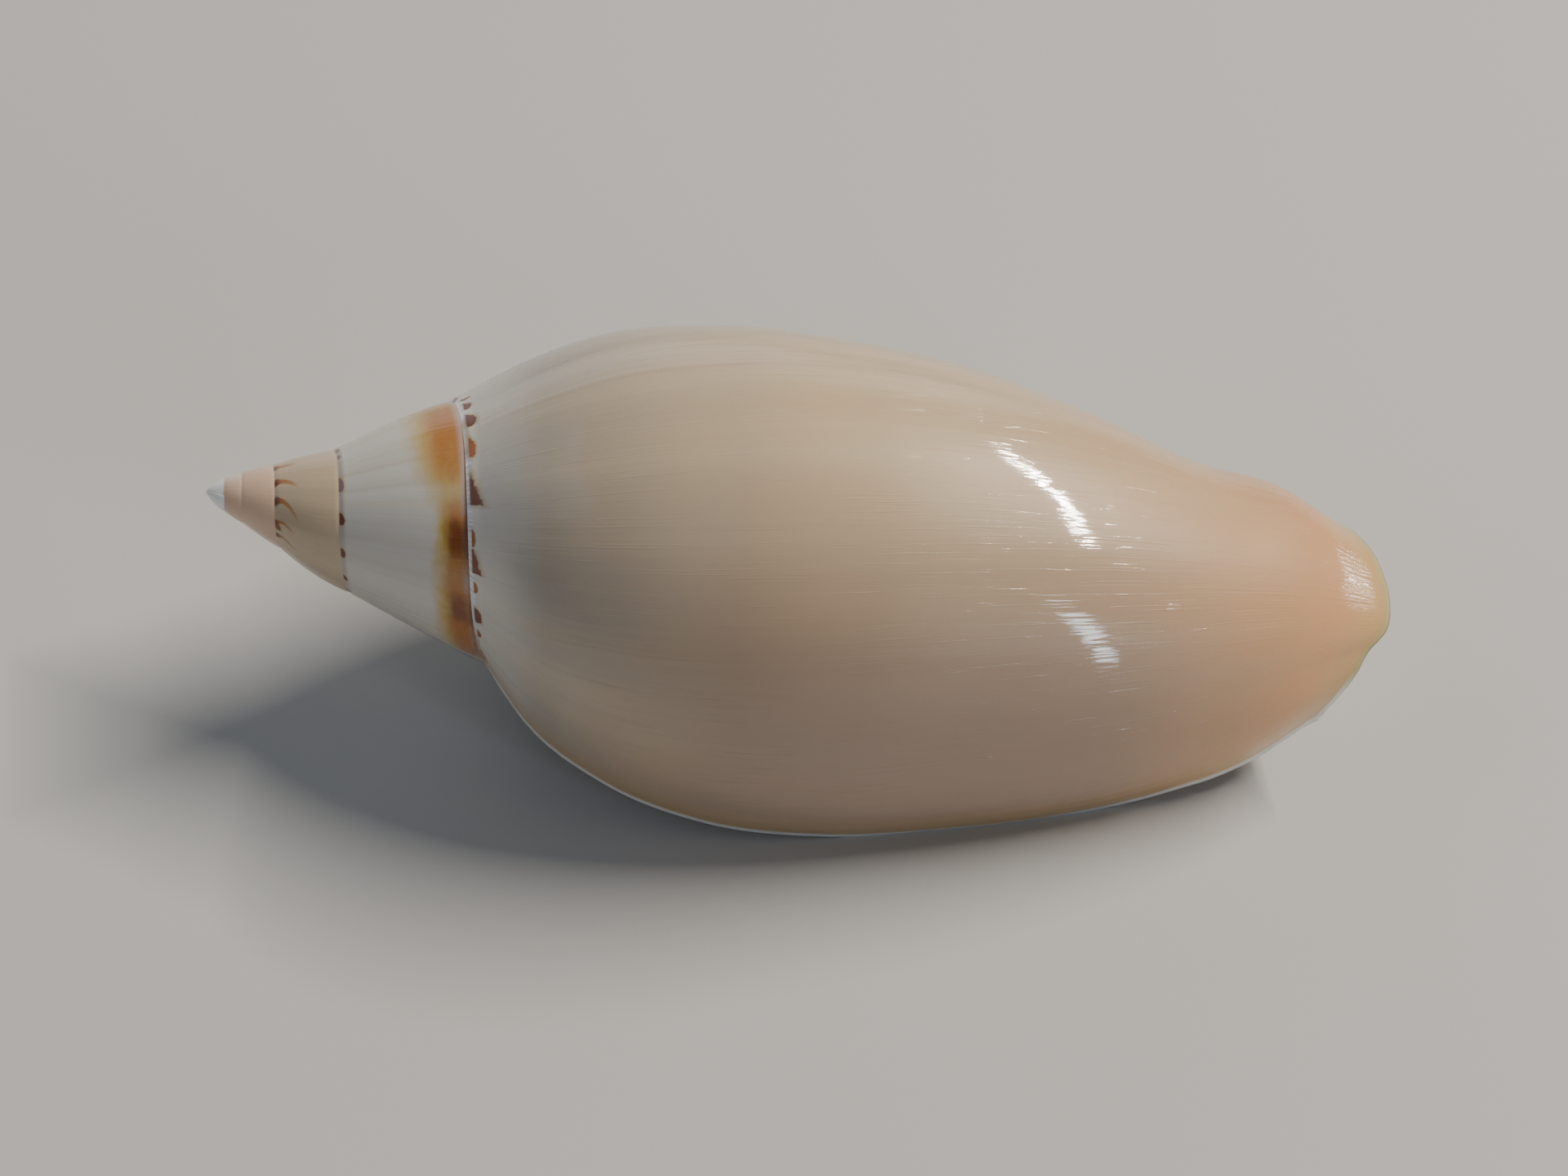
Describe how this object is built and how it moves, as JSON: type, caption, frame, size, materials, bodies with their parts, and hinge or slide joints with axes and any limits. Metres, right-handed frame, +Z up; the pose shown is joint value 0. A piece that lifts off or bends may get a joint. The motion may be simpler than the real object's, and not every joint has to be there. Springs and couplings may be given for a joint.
{
  "type": "volute seashell",
  "caption": "Glossy volute seashell with a short pointed spire, a long swollen last whorl, a long narrow mouth, oblique folds on its pillar and a thin outer lip, lying on its mouth.",
  "frame": {"origin": "middle of the shell's footprint, on the surface it rests on", "axes": "+X along the length from the spire's tip towards the open front end, -Y towards the outer lip, +Z up from the resting surface"},
  "size_m": [0.0806, 0.0328, 0.0292],
  "materials": {
    "shell": "glossy natural shell, cream to orange"
  },
  "bodies": {
    "root": {"shell": "shell"}
  },
  "joints": []
}
